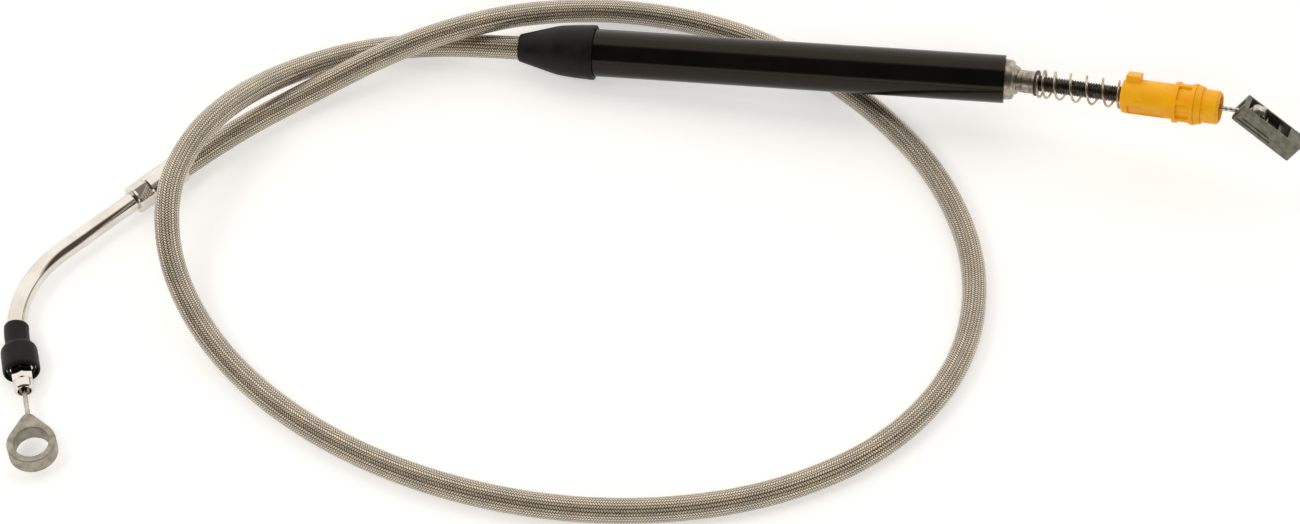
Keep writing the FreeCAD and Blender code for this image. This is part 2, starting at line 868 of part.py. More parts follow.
def make_stud():
    stem = turned_body(
        "stud_stem",
        [
            ("0", "0"),
            ("shank_diameter / 2", "0"),
            ("shank_diameter / 2", "shank_end"),
            ("stud_diameter / 2", "shank_end"),
            ("stud_diameter / 2", "stud_end - stud_chamfer"),
            ("stud_diameter / 2 - stud_chamfer", "stud_end"),
            ("0", "stud_end"),
        ],
    )
    ball = sphere("stud_ball", "ball_diameter / 2")
    solid = joined("stud_solid", [ball, stem])
    bore = cylinder("stud_bore_cut", "stud_bore / 2", "stud_end + ball_diameter", "0 - ball_diameter")
    keep("threaded_stud", cut("threaded_stud", solid, bore), stud_frame)

    washer_hole = "stud_diameter / 2 + slip_gap"
    base = "shank_end + seat_gap"
    washer = turned_body(
        "spring_washer",
        [
            (washer_hole, base),
            ("washer_diameter / 2", base),
            ("washer_diameter / 2", base + " + washer_thickness"),
            (washer_hole, base + " + washer_thickness"),
        ],
    )
    keep("spring_washer", washer, stud_frame)


def biarc(start, start_way, end, end_way):
    """Two arcs that leave start and reach end along the given directions."""
    chord = end - start
    ways = start_way + end_way
    spread = 2 * (1 - start_way.dot(end_way))
    lean = chord.dot(ways)
    reach = (-lean + math.sqrt(lean**2 + spread * chord.dot(chord))) / spread
    meet = (start + start_way * reach + end - end_way * reach) * 0.5

    def arc_from(point, way, other):
        line = other - point
        normal = (line - way * line.dot(way)).normalize()
        radius = line.dot(line) / (2 * line.dot(normal))
        centre = point + normal * radius
        middle = centre + ((point - centre) + (other - centre)).normalize() * radius
        return Part.Arc(point, middle, other).toShape()

    second = arc_from(end, -end_way, meet)
    return [arc_from(start, start_way, meet), second]


def spring_base():
    return size("shank_end") + 2 * size("seat_gap") + size("washer_thickness")


def spring_stretches():
    """Turns and pitch of each stretch of the spring, from the washer outwards."""
    names = ("first", "second", "open", "last")
    return [(size(name + "_turns"), size(name + "_pitch")) for name in names]


def spring_length():
    return sum(turns * pitch for turns, pitch in spring_stretches()) + size("spring_wire")


def make_spring():
    """One wound wire, close at its first turns and open from there to the housing."""
    radius = (size("spring_diameter") - size("spring_wire")) / 2
    height = spring_base() + size("spring_wire") / 2
    steps = []
    for turns, pitch in spring_stretches():
        quarters = max(1, round(turns * 4))
        steps += [(turns * 360 / quarters, turns * pitch / quarters)] * quarters
    angle = size("spring_turned")
    nodes = []
    for k in range(len(steps) + 1):
        near = steps[max(k - 1, 0)]
        far = steps[min(k, len(steps) - 1)]
        slope = (near[1] / near[0] + far[1] / far[0]) / 2
        rad = math.radians(angle)
        point = Vector(radius * math.cos(rad), radius * math.sin(rad), height)
        rise = slope * 180 / math.pi
        way = Vector(-radius * math.sin(rad), radius * math.cos(rad), rise).normalize()
        nodes.append((point, way))
        if k < len(steps):
            angle += steps[k][0]
            height += steps[k][1]
    edges = []
    for (start, start_way), (end, end_way) in zip(nodes, nodes[1:]):
        edges += biarc(start, start_way, end, end_way)
    wire = Part.Wire(edges)
    start, start_way = nodes[0]
    circle = Part.Wire([Part.Circle(start, start_way, size("spring_wire") / 2).toShape()])
    shape = wire.makePipeShell([circle], True, False)
    samples = 1200
    line = wire.discretize(Number=samples)
    skip = int(1.5 * math.pi * radius / (wire.Length / (samples - 1)))
    gap = min(
        (line[i] - line[j]).Length
        for i in range(0, samples, 3)
        for j in range(i + skip, samples, 3)
    )
    print("spring least gap between turns", round(gap - size("spring_wire"), 3), "mm")
    print("spring length", round(spring_length(), 2), "mm")
    keep("adjuster_spring", feature("adjuster_spring", shape), stud_frame)


def housing_start():
    return spring_base() + spring_length() + size("seat_gap")


def make_housing():
    """Yellow body with a lug, a recess, a neck for the lock ring, and a nozzle."""
    ring_start = "body_length"
    ring_stop = "body_length + ring_length + 2 * slip_gap"
    cone_stop = ring_stop + " + nozzle_cone"
    stop = ring_stop + " + nozzle_length"
    blank = turned_body(
        "housing_blank",
        [
            ("0", "0"),
            ("housing_diameter / 2 - housing_chamfer", "0"),
            ("housing_diameter / 2", "housing_chamfer"),
            ("housing_diameter / 2", ring_start),
            ("neck_diameter / 2", ring_start),
            ("neck_diameter / 2", ring_stop),
            ("nozzle_cone_diameter / 2", ring_stop),
            ("nozzle_cone_top / 2", cone_stop),
            ("nozzle_diameter / 2", cone_stop),
            ("nozzle_diameter / 2", stop + " - nozzle_chamfer"),
            ("nozzle_diameter / 2 - nozzle_chamfer", stop),
            ("0", stop),
        ],
    )
    lug = primitive(
        "Part::Box",
        "housing_lug",
        {
            "Length": "housing_diameter / 2 + lug_height",
            "Width": "lug_width",
            "Height": "lug_length",
        },
    )
    low_corner = Vector(0, -size("lug_width") / 2, size("lug_start"))
    lug.Placement = turned(size("lug_turned"), low_corner)
    solid = joined("housing_solid", [blank, lug])
    bore = cylinder("housing_bore_cut", "housing_bore / 2", stop + " + 2", "-1")
    mouth = cylinder(
        "nozzle_mouth", "nozzle_bore / 2", "nozzle_bore_depth + 1", stop + " - nozzle_bore_depth"
    )
    jaw_room = cylinder(
        "jaw_room", "jaw_diameter / 2 + slip_gap", "jaw_length + 2 * slip_gap", "jaw_start"
    )
    recess = primitive(
        "Part::Box",
        "housing_recess",
        {"Length": "recess_depth + 1", "Width": "recess_width", "Height": "recess_length"},
    )
    low_corner = Vector(
        size("housing_diameter") / 2 - size("recess_depth"),
        -size("recess_width") / 2,
        size("recess_start"),
    )
    recess.Placement = turned(size("recess_turned"), low_corner)
    tools = joined("housing_tools", [bore, mouth, jaw_room, recess])
    frame = stud_frame.multiply(Placement(Vector(0, 0, housing_start()), Rotation()))
    keep("adjuster_housing", cut("adjuster_housing", solid, tools), frame)

    jaws = turned_body(
        "jaw_blank",
        [
            ("stud_diameter / 2 + running_gap", "jaw_start + slip_gap"),
            ("jaw_diameter / 2", "jaw_start + slip_gap"),
            ("jaw_diameter / 2", "jaw_start + slip_gap + jaw_length"),
            ("stud_diameter / 2 + running_gap", "jaw_start + slip_gap + jaw_length"),
        ],
    )
    split = box(
        "jaw_split_cut",
        "jaw_diameter + 2",
        "jaw_split",
        "jaw_length + 2",
        "0 - jaw_diameter / 2 - 1",
        "0 - jaw_split / 2",
        "jaw_start - 1",
    )
    keep("thread_jaws", cut("thread_jaws", jaws, split), frame)

    make_lock_ring(frame)
    nozzle_end = housing_start() + size("body_length") + size("ring_length")
    return nozzle_end + 2 * size("slip_gap") + size("nozzle_length")


def make_lock_ring(frame):
    """Ribbed ring that turns on the housing's neck."""
    base = "body_length + slip_gap"
    top = base + " + ring_length"
    inner = "neck_diameter / 2 + running_gap"
    floor = "ring_diameter / 2 - ring_pocket_depth"
    core = turned_body(
        "ring_core",
        [
            (inner, base),
            ("ring_diameter / 2", base),
            ("ring_diameter / 2", base + " + ring_rim"),
            (floor, base + " + ring_rim"),
            (floor, top + " - ring_rim"),
            ("ring_diameter / 2", top + " - ring_rim"),
            ("ring_diameter / 2", top),
            (inner, top),
        ],
    )
    count = int(size("ring_ribs"))
    ribs = []
    for k in range(count):
        rib = primitive(
            "Part::Box",
            "ring_rib_%d" % k,
            {
                "Length": "ring_pocket_depth + 0.5",
                "Width": "ring_rib",
                "Height": "ring_length - 0.6",
            },
        )
        low_corner = Vector(
            size("ring_diameter") / 2 - size("ring_pocket_depth") - 0.6,
            -size("ring_rib") / 2,
            size("body_length") + size("slip_gap") + 0.3,
        )
        rib.Placement = turned(size("ring_turned") + k * 360 / count, low_corner)
        ribs.append(rib)
    keep("lock_ring", joined("lock_ring", [core] + ribs), frame)


# Release end: sliding wire, ball nipple, hooked link and its retainer


def make_release_end(nozzle_end):
    """The wire that slides out of the nozzle, its ball nipple and the link on it."""
    ball_at = nozzle_end + size("nipple_reach")
    wire = doc.addObject("Part::Cylinder", "release_wire")
    bind(wire, "Radius", "wire_diameter / 2")
    wire.Height = ball_at - size("release_wire_start")
    start = Placement(Vector(0, 0, size("release_wire_start")), Rotation())
    keep("release_wire", wire, stud_frame.multiply(start))

    ball = sphere("nipple_ball_blank", "nipple_ball / 2")
    collar = cylinder("nipple_collar_blank", "nipple_collar / 2", "nipple_length")
    hole = cylinder(
        "nipple_hole",
        "wire_diameter / 2 + running_gap",
        "nipple_ball + seat_gap",
        "0 - nipple_ball",
    )
    blank = joined("nipple_blank", [ball, collar])
    at_ball = stud_frame.multiply(Placement(Vector(0, 0, ball_at), Rotation()))
    keep("wire_nipple", cut("wire_nipple", blank, hole), at_ball)

    along = heading(size("link_bearing"), size("link_pitch"))
    hinge = along.cross(stud_axis).normalize()
    rise = hinge.cross(along).normalize()
    centre = ball_centre + stud_axis * ball_at
    swing = math.degrees(along.getAngle(stud_axis))
    print("link pivot", tuple(round(v, 3) for v in centre))
    print("link hinge axis", tuple(round(v, 5) for v in hinge), "up by", round(swing, 2))
    make_link(Placement(centre, Rotation(along, -hinge, rise, "ZXY")))


def make_link(frame):
    """Cast channel with a forked head over the ball, a brass clip and a retainer."""
    bottom = "0 - link_depth"
    top = "link_rim"
    inside = "(link_width / 2 - link_wall)"
    tall = "2 * link_depth"
    tail = "link_length - link_head"
    blank = box(
        "link_blank",
        "link_length",
        "link_width",
        "link_depth + link_rim",
        "0 - link_head",
        "0 - link_width / 2",
        bottom,
    )
    doc.recompute()
    eased = doc.addObject("Part::Fillet", "link_eased")
    eased.Base = blank
    uprights = [
        k + 1
        for k, edge in enumerate(blank.Shape.Edges)
        if abs(edge.Vertexes[0].Z - edge.Vertexes[1].Z) > 0.5
    ]
    eased.Edges = [(k, size("link_corner"), size("link_corner")) for k in uprights]
    ribs = []
    for side in (-1, 1):
        for row in (0, 1):
            rib = box(
                "link_rib_%d_%d" % (side + 1, row),
                "rib_length - %d * rib_pitch" % (2 * row),
                "rib_height + 0.3",
                "rib_width",
                "0 - rib_start + %d * rib_pitch" % row,
                "link_width / 2 - 0.3" if side > 0 else "0 - link_width / 2 - rib_height",
                bottom + " + 0.9 + %d * rib_pitch" % row,
            )
            ribs.append(rib)
    body = joined("link_body", [eased] + ribs)
    chamber = box(
        "link_chamber",
        "chamber_end + link_head - head_wall",
        "2 * " + inside,
        tall,
        "head_wall - link_head",
        "0 - " + inside,
        "0 - nipple_ball / 2 - slip_gap",
    )
    pocket = box(
        "link_pocket",
        "pocket_end - chamber_end",
        "2 * " + inside,
        tall,
        "chamber_end",
        "0 - " + inside,
        bottom + " + pocket_floor",
    )
    over_web = box(
        "link_over_web",
        "web_length + 1",
        "2 * " + inside,
        tall,
        "pocket_end - 0.5",
        "0 - " + inside,
        top + " - web_drop",
    )
    window = box(
        "link_window",
        tail + " - tail_wall - pocket_end - web_length",
        "2 * " + inside,
        "3 * link_depth",
        "pocket_end + web_length",
        "0 - " + inside,
        "0 - 2 * link_depth",
    )
    slot = box(
        "link_slot_cut",
        "slot_reach + 1",
        "link_slot",
        "2 * link_depth + slot_top",
        "0 - link_head - 1",
        "0 - link_slot / 2",
        "0 - 2 * link_depth",
    )
    tools = joined("link_tools", [chamber, pocket, over_web, window, slot])
    keep("release_link", cut("release_link", body, tools), frame)

    clip_start = "chamber_end + retainer_gap"
    seat = bottom + " + pocket_floor + seat_gap"
    clip = box(
        "clip_blank",
        "clip_thickness",
        "2 * " + inside + " - 2 * retainer_gap",
        "clip_height",
        clip_start,
        "0 - " + inside + " + retainer_gap",
        seat,
    )
    clip_hole = cylinder("clip_hole", "wire_diameter / 2", "1", bottom, "0 - 1")
    keep("link_clip", cut("link_clip", clip, clip_hole), frame)

    block = box(
        "retainer_blank",
        "pocket_end - chamber_end - clip_thickness - 3 * retainer_gap",
        "2 * " + inside + " - 2 * retainer_gap",
        "retainer_height",
        clip_start + " + clip_thickness + retainer_gap",
        "0 - " + inside + " + retainer_gap",
        seat,
    )
    groove = box(
        "retainer_groove_cut",
        "retainer_groove",
        "link_width",
        "retainer_groove + 1",
        "(chamber_end + pocket_end) / 2",
        "0 - link_width / 2",
        seat + " + retainer_height - retainer_groove",
    )
    keep("link_retainer", cut("link_retainer", block, groove), frame)


make_casing()
make_elbow()
make_collar()
make_nose()
make_nose_boot()
make_lever_end()
make_barrel()
make_barrel_boot()
make_stud()
make_spring()
nozzle_end_at = make_housing()
make_release_end(nozzle_end_at)

doc.recompute()

faults = [o.Name for o in doc.Objects if {"Invalid", "Error"} & set(o.State)]
if faults:
    raise SystemExit("failed features: " + ", ".join(faults))
for part_label, thing in parts.items():
    if thing.Shape.isNull() or not thing.Shape.isValid() or thing.Shape.Volume <= 0:
        raise SystemExit("bad shape: " + part_label)

os.makedirs("parts", exist_ok=True)
for part_label, thing in parts.items():
    thing.Shape.exportStep("parts/" + part_label + ".step")
print(len(parts), "sub-parts written")
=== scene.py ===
"""The looks of a braided control cable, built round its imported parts."""

import math

import bpy
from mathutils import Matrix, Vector


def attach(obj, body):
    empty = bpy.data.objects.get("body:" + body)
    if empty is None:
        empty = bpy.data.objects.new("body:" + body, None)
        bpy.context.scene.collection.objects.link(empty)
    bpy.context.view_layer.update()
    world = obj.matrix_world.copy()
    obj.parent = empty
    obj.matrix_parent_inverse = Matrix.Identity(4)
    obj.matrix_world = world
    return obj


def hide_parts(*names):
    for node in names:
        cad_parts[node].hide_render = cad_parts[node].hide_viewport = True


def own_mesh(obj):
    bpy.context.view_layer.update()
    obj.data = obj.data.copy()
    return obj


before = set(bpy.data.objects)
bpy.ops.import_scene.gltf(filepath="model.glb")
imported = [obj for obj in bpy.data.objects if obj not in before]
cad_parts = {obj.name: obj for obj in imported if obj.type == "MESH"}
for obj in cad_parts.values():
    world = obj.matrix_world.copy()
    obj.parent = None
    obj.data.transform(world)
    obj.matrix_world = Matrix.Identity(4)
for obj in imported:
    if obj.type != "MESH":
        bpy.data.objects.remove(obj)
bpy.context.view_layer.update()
scene = bpy.context.scene


# Camera: it stands in front of the table and looks down on the cable, as the
# photographer did, with a long lens and no shift.
camera_stand = (-0.0024, -0.7446, 0.9475)
camera_tilt = 38.0
camera_sensor = 36.0
camera_lens = 91.385
camera = bpy.data.objects.new("camera", bpy.data.cameras.new("camera"))
camera.location = camera_stand
camera.rotation_euler = (math.radians(camera_tilt), 0, 0)
camera.data.sensor_width = camera_sensor
camera.data.lens = camera_lens
scene.collection.objects.link(camera)
scene.camera = camera
scene.view_settings.view_transform = "Standard"


# Studio: a pale table under a wide white hood that comes over from behind, with
# the dim room in front above the table's edge. Two soft lamps in front and at the
# left add light, and leave no glint of their own on the gloss.
MM = 0.001
hood_tint = (1.0, 0.965, 0.92, 1.0)
hood_strength = 1.26
hood_to_room = (0.16, -0.10)
table_to_room = (0.10, 0.22)
room_tint = (0.075, 0.065, 0.055, 1.0)
lamp_tint = (1.0, 0.96, 0.90)
lamps = (
    {
        "name": "front_lamp",
        "reach": 1.30,
        "turn": -90.0,
        "rise": 43.0,
        "size": (1.10, 0.42),
        "watts": 4.2,
    },
    {
        "name": "side_lamp",
        "reach": 1.40,
        "turn": -158.0,
        "rise": 50.0,
        "size": (0.50, 0.50),
        "watts": 3.0,
    },
)
table_tint = (0.80, 0.797, 0.79, 1.0)
table_gloss = (0.4, 0.6)
table_grain = 40.0
table_half = 4.0
table_lift = 0.42


def put(tree, kind, inputs=None, **settings):
    """Puts a node in a tree; each of its inputs is given as a value or as a link."""
    new = tree.nodes.new("ShaderNode" + kind)
    for key, value in settings.items():
        setattr(new, key, value)
    for key, value in (inputs or {}).items():
        if isinstance(value, bpy.types.NodeSocket):
            tree.links.new(value, new.inputs[key])
        else:
            new.inputs[key].default_value = value
    return new


def reckon(tree, operation, *values):
    """A sum in a tree."""
    inputs = dict(enumerate(values))
    return put(tree, "Math", inputs, operation=operation).outputs[0]


def ramp(tree, value, low, high, first=0.0, last=1.0):
    """A smooth rise from first to last as the value goes from low to high."""
    inputs = {
        "Value": value,
        "From Min": low,
        "From Max": high,
        "To Min": first,
        "To Max": last,
    }
    return put(tree, "MapRange", inputs, interpolation_type="SMOOTHSTEP").outputs[0]


def mixed(tree, share, first, second):
    """A colour between two colours."""
    return put(tree, "Mix", {0: share, 6: first, 7: second}, data_type="RGBA").outputs[2]


def heading(bearing, pitch=0.0):
    """A direction from its bearing on the table and its rise above it."""
    b, p = math.radians(bearing), math.radians(pitch)
    return Vector((math.cos(b) * math.cos(p), math.sin(b) * math.cos(p), math.sin(p)))


studio = bpy.data.worlds.new("studio")
scene.world = studio
studio.use_nodes = True
sky = studio.node_tree
way = put(sky, "SeparateXYZ", {0: put(sky, "TexCoord").outputs["Generated"]})
in_front = ramp(sky, way.outputs["Y"], *hood_to_room)
above_table = ramp(sky, way.outputs["Z"], *table_to_room)
dim = reckon(sky, "MULTIPLY", in_front, above_table)
backdrop = sky.nodes["Background"]
sky.links.new(mixed(sky, dim, hood_tint, room_tint), backdrop.inputs["Color"])
backdrop.inputs["Strength"].default_value = hood_strength

for plan in lamps:
    lamp = bpy.data.objects.new(plan["name"], bpy.data.lights.new(plan["name"], "AREA"))
    lamp.data.shape = "RECTANGLE"
    lamp.data.size, lamp.data.size_y = plan["size"]
    lamp.data.energy = plan["watts"]
    lamp.data.color = lamp_tint
    toward = heading(plan["turn"], plan["rise"])
    lamp.location = toward * plan["reach"]
    lamp.rotation_euler = toward.to_track_quat("Z", "Y").to_euler()
    lamp.visible_glossy = False
    scene.collection.objects.link(lamp)

table_mesh = bpy.data.meshes.new("table")
table_mesh.from_pydata(
    [(x * table_half, y * table_half, 0) for x, y in ((-1, -1), (1, -1), (1, 1), (-1, 1))],
    [],
    [(0, 1, 2, 3)],
)
table = bpy.data.objects.new("table", table_mesh)
scene.collection.objects.link(table)
paint = bpy.data.materials.new("table_paint")
paint.use_nodes = True
tree = paint.node_tree
tree.nodes.remove(tree.nodes["Principled BSDF"])
ray = put(tree, "LightPath").outputs
seen = reckon(tree, "MAXIMUM", ray["Is Camera Ray"], ray["Is Glossy Ray"])
seen = reckon(tree, "MAXIMUM", seen, ray["Is Transmission Ray"])
glow = put(
    tree,
    "Emission",
    {"Color": (1, 1, 1, 1), "Strength": reckon(tree, "MULTIPLY", seen, table_lift)},
)
grain = put(tree, "TexNoise", {"Scale": table_grain, "Detail": 3.0}).outputs["Fac"]
dullness = ramp(tree, grain, 0, 1, *table_gloss)
matt = put(tree, "BsdfDiffuse", {"Color": table_tint, "Roughness": dullness})
both = put(tree, "AddShader", {0: matt.outputs[0], 1: glow.outputs[0]})
tree.links.new(both.outputs[0], tree.nodes["Material Output"].inputs["Surface"])
table_mesh.materials.append(paint)


# Casing: a wound steel conduit with a plastic skin, a stainless braid over it and
# a clear glossy jacket outside. It is one free length that runs from the collar
# round the big loop, over itself in two low humps, and into the barrel.
casing_diameter = 9.0
casing_sides = 32
casing_steps = 26
carriers = 24
braid_repeat = 0.96
braid_twill = 4.0
braid_wires = 5
braid_depth = 0.16
braid_patch = 9.0
braid_gloss = (0.26, 0.40)
# The next tint is the dark of the gaps between bundles, and also painted shade where the strands
# dip under each other.
braid_gap_and_shade_tint = (0.022, 0.016, 0.010, 1.0)
braid_steel_tint = (0.80, 0.68, 0.51, 1.0)
braid_dull_tint = (0.66, 0.585, 0.465, 1.0)
casing_route = [
    (-0.186308, 0.024692, 0.0066),
    (-0.160852, 0.050148, 0.0066),
    (-0.1294, 0.0722, 0.0072),
    (-0.0974, 0.0873, 0.0148),
    (-0.0668, 0.0978, 0.0175),
    (-0.0424, 0.1103, 0.0095),
    (-0.0114, 0.1153, 0.0045),
    (0.0245, 0.1069, 0.0045),
    (0.0574, 0.0888, 0.0045),
    (0.0851, 0.0621, 0.0045),
    (0.1061, 0.0302, 0.0045),
    (0.1168, -0.0108, 0.0045),
    (0.1093, -0.0532, 0.0045),
    (0.0833, -0.0873, 0.0045),
    (0.0443, -0.1086, 0.0045),
    (0.0006, -0.1169, 0.0045),
    (-0.0434, -0.1145, 0.0045),
    (-0.0867, -0.1017, 0.0045),
    (-0.1245, -0.0802, 0.0045),
    (-0.1548, -0.0513, 0.0048),
    (-0.1737, -0.0209, 0.0130),
    (-0.1776, 0.0062, 0.0245),
    (-0.1708, 0.0301, 0.0265),
    (-0.1581, 0.0515, 0.0240),
    (-0.1409, 0.0757, 0.0124),
    (-0.1144, 0.0940, 0.0047),
    (-0.0854, 0.0977, 0.0047),
    (-0.055789, 0.092419, 0.008904),
    (-0.028193, 0.088171, 0.011003),
]


def ring(laid, radius, sides, along=0.0):
    """Points round a part's axis, from its up side on, in millimetres."""
    origin, up, side, axis = laid
    spot = origin + axis * along
    steps = [2 * math.pi * k / sides for k in range(sides)]
    return [spot + (up * math.cos(a) + side * math.sin(a)) * radius for a in steps]


def skin(rows, closed=False):
    """Faces over rings of points, with its ends capped, or closed on its first ring."""
    sides = len(rows[0])
    faces = []
    for row in range(len(rows) if closed else len(rows) - 1):
        here, there = row * sides, (row + 1) % len(rows) * sides
        for s in range(sides):
            n = (s + 1) % sides
            faces.append((here + s, here + n, there + n, there + s))
    if not closed:
        faces.append(tuple(reversed(range(sides))))
        faces.append(tuple(range((len(rows) - 1) * sides, len(rows) * sides)))
    return faces


def make_piece(name, rows, finish, body, closed=False, edge=38.0):
    """A piece from rings of points in millimetres, riding on its body."""
    mesh = bpy.data.meshes.new(name)
    mesh.from_pydata([point * MM for row in rows for point in row], [], skin(rows, closed))
    mesh.shade_smooth()
    mesh.set_sharp_from_angle(angle=math.radians(edge))
    mesh.materials.append(finish)
    piece = bpy.data.objects.new(name, mesh)
    scene.collection.objects.link(piece)
    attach(piece, body)
    return piece


def new_finish(name, sockets):
    """A finish with its shader's even values set; gives it, its tree and its shader."""
    finish = bpy.data.materials.new(name)
    finish.use_nodes = True
    shader = finish.node_tree.nodes["Principled BSDF"]
    for socket, value in sockets.items():
        shader.inputs[socket].default_value = value
    return finish, finish.node_tree, shader


def speckle(tree, size, detail=3.0):
    """Irregular patches of about that size in millimetres, as a value round 0.5."""
    place = put(tree, "TexCoord").outputs["Object"]
    inputs = {"Vector": place, "Scale": 1 / (size * MM), "Detail": detail}
    return put(tree, "TexNoise", inputs).outputs["Fac"]


def relief(tree, shader, height, depth, strength=1.0):
    """Gives a finish a relief of that depth in millimetres."""
    inputs = {"Height": height, "Distance": depth * MM, "Strength": strength}
    tree.links.new(put(tree, "Bump", inputs).outputs[0], shader.inputs["Normal"])


casing_line = bpy.data.curves.new("casing_line", "CURVE")
casing_line.dimensions = "3D"
casing_line.resolution_u = casing_steps
spline = casing_line.splines.new("NURBS")
spline.points.add(len(casing_route) - 1)
for spline_point, place in zip(spline.points, casing_route):
    spline_point.co = (*place, 1.0)
spline.order_u = 3
spline.use_endpoint_u = True
line_object = bpy.data.objects.new("casing_line", casing_line)
line_mesh = bpy.data.meshes.new_from_object(line_object)
casing_path = [vertex.co.copy() for vertex in line_mesh.vertices]
bpy.data.objects.remove(line_object)

casing_rows = []
casing_run = [0.0]
up = Vector((0, 0, 1))
for k, spot in enumerate(casing_path):
    before, after = casing_path[max(k - 1, 0)], casing_path[min(k + 1, len(casing_path) - 1)]
    axis = (after - before).normalized()
    up = (up - axis * up.dot(axis)).normalized()
    laid = (spot / MM, up, axis.cross(up), axis)
    casing_rows.append(ring(laid, casing_diameter / 2, casing_sides))
    if k:
        casing_run.append(casing_run[-1] + (spot - before).length / MM)

braided, tree, shader = new_finish(
    "braid_under_clear_jacket",
    {"Metallic": 0.92, "Coat Weight": 1.0, "Coat Roughness": 0.14, "Coat IOR": 1.5},
)
lay = put(tree, "SeparateXYZ", {0: put(tree, "UVMap", uv_map="braid_lay").outputs[0]})
along, around = lay.outputs["X"], lay.outputs["Y"]
rising = reckon(tree, "ADD", around, along)
falling = reckon(tree, "SUBTRACT", around, along)
rising_strand = reckon(tree, "FLOOR", rising)
falling_strand = reckon(tree, "FLOOR", falling)
order = reckon(tree, "ADD", rising_strand, falling_strand)
rising_on_top = reckon(tree, "LESS_THAN", reckon(tree, "FLOORED_MODULO", order, braid_twill), 1.5)
rising_float = reckon(
    tree, "FLOORED_MODULO", reckon(tree, "ADD", falling, rising_strand), braid_twill
)
falling_float = reckon(
    tree, "FLOORED_MODULO", reckon(tree, "ADD", rising, falling_strand), braid_twill
)
falling_float = reckon(tree, "SUBTRACT", falling_float, braid_twill / 2)


def whichever(tree, chosen, first, second):
    """The first value, or the second where chosen is 1."""
    return put(tree, "Mix", {0: chosen, 2: first, 3: second}, data_type="FLOAT").outputs[0]


strand_float = whichever(tree, rising_on_top, falling_float, rising_float)
strand_across = whichever(
    tree,
    rising_on_top,
    reckon(tree, "FRACT", falling),
    reckon(tree, "FRACT", rising),
)
arch = reckon(tree, "SINE", reckon(tree, "MULTIPLY", strand_float, 2 * math.pi / braid_twill))
off_middle = reckon(tree, "ABSOLUTE", reckon(tree, "SUBTRACT", strand_across, 0.5))
bundle = ramp(tree, off_middle, 0.50, 0.24)
wires = reckon(tree, "COSINE", reckon(tree, "MULTIPLY", off_middle, 2 * math.pi * braid_wires))
height = reckon(tree, "MULTIPLY", arch, bundle)
# Colour follows the strand's height. There are dark gaps between bundles, and painted shade
# darkens each float towards its ends and edges, where it dips under its neighbours. The crowns
# get the full steel tint.
painted_shade_share = ramp(tree, height, 0.14, 0.66)
patches = speckle(tree, braid_patch)
steel = mixed(tree, ramp(tree, patches, 0.3, 0.7), braid_steel_tint, braid_dull_tint)
tree.links.new(mixed(tree, painted_shade_share, braid_gap_and_shade_tint, steel), shader.inputs["Base Color"])
tree.links.new(ramp(tree, patches, 0.2, 0.8, *braid_gloss), shader.inputs["Roughness"])
relief(
    tree,
    shader,
    reckon(tree, "ADD", height, reckon(tree, "MULTIPLY", wires, 0.10)),
    braid_depth,
    0.8,
)

casing = make_piece("braided_casing", casing_rows, braided, "cable")
braid_lay = casing.data.uv_layers.new(name="braid_lay")
for face in casing.data.polygons:
    row, s = divmod(face.index, casing_sides)
    if row + 1 == len(casing_rows):
        break
    for corner, (r, k) in zip(
        face.loop_indices, ((row, s), (row, s + 1), (row + 1, s + 1), (row + 1, s))
    ):
        turn_share = k / casing_sides * carriers
        braid_lay.data[corner].uv = (casing_run[r] / braid_repeat, turn_share)
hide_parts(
    "outer_jacket",
    "steel_braid",
    "inner_jacket",
    "wound_conduit",
    "casing_liner",
    "casing_wire",
)


# Elbow: a bent steel tube with bright chrome on it, pressed into the collar and
# into the nose. A nylon liner runs through it, and the inner wire in that.
def dress(node, finish):
    """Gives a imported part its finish."""
    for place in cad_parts[node].material_slots:
        place.material = finish


def varied(name, tint, worn, patch, gloss, grain, depth, sockets=None):
    """A finish whose tint and gloss change in patches, over a fine relief."""
    finish, tree, shader = new_finish(name, sockets or {})
    patches = speckle(tree, patch, 5.0)
    colour = mixed(tree, ramp(tree, patches, 0.35, 0.68), (*tint, 1.0), (*worn, 1.0))
    tree.links.new(colour, shader.inputs["Base Color"])
    tree.links.new(ramp(tree, patches, 0.25, 0.75, *gloss), shader.inputs["Roughness"])
    relief(tree, shader, speckle(tree, grain, 4.0), depth)
    return finish


bright_chrome = varied(
    "bright_chrome",
    tint=(0.74, 0.705, 0.655),
    worn=(0.64, 0.605, 0.55),
    patch=11.0,
    gloss=(0.03, 0.07),
    grain=2.2,
    depth=0.012,
    sockets={"Metallic": 1.0},
)
milky_nylon = varied(
    "milky_nylon",
    tint=(0.80, 0.78, 0.72),
    worn=(0.70, 0.67, 0.60),
    patch=5.0,
    gloss=(0.30, 0.45),
    grain=0.8,
    depth=0.02,
)
drawn_steel = varied(
    "drawn_steel",
    tint=(0.58, 0.56, 0.52),
    worn=(0.42, 0.39, 0.35),
    patch=3.0,
    gloss=(0.22, 0.38),
    grain=0.5,
    depth=0.01,
    sockets={"Metallic": 1.0},
)
dress("elbow_tube", bright_chrome)
dress("elbow_liner", milky_nylon)
dress("elbow_wire", drawn_steel)


# Crimp collar: a chromed steel sleeve swaged over the end of the casing, with a
# hexagon on the elbow's side to hold it while the elbow is pressed in.
dress("crimp_collar", bright_chrome)


# Nose: a chromed ferrule on the elbow's end, with a flange in the rubber boot, a
# hexagon and a round nose with an open bore. A thin rubber ring lies on the flange.
nose_point = Vector((-227.267, -44.188, 6.6))
nose_bearing = -77.0
rubber_sides = 56
seal_station = 14.1
seal_middle = 4.541
seal_half = 0.45
seal_steps = 20


def lay_along(origin, axis):
    """A part's origin with its up side, its right-hand side and its axis."""
    side = axis.cross(Vector((0, 0, 1))).normalized()
    return origin, side.cross(axis).normalized(), side, axis


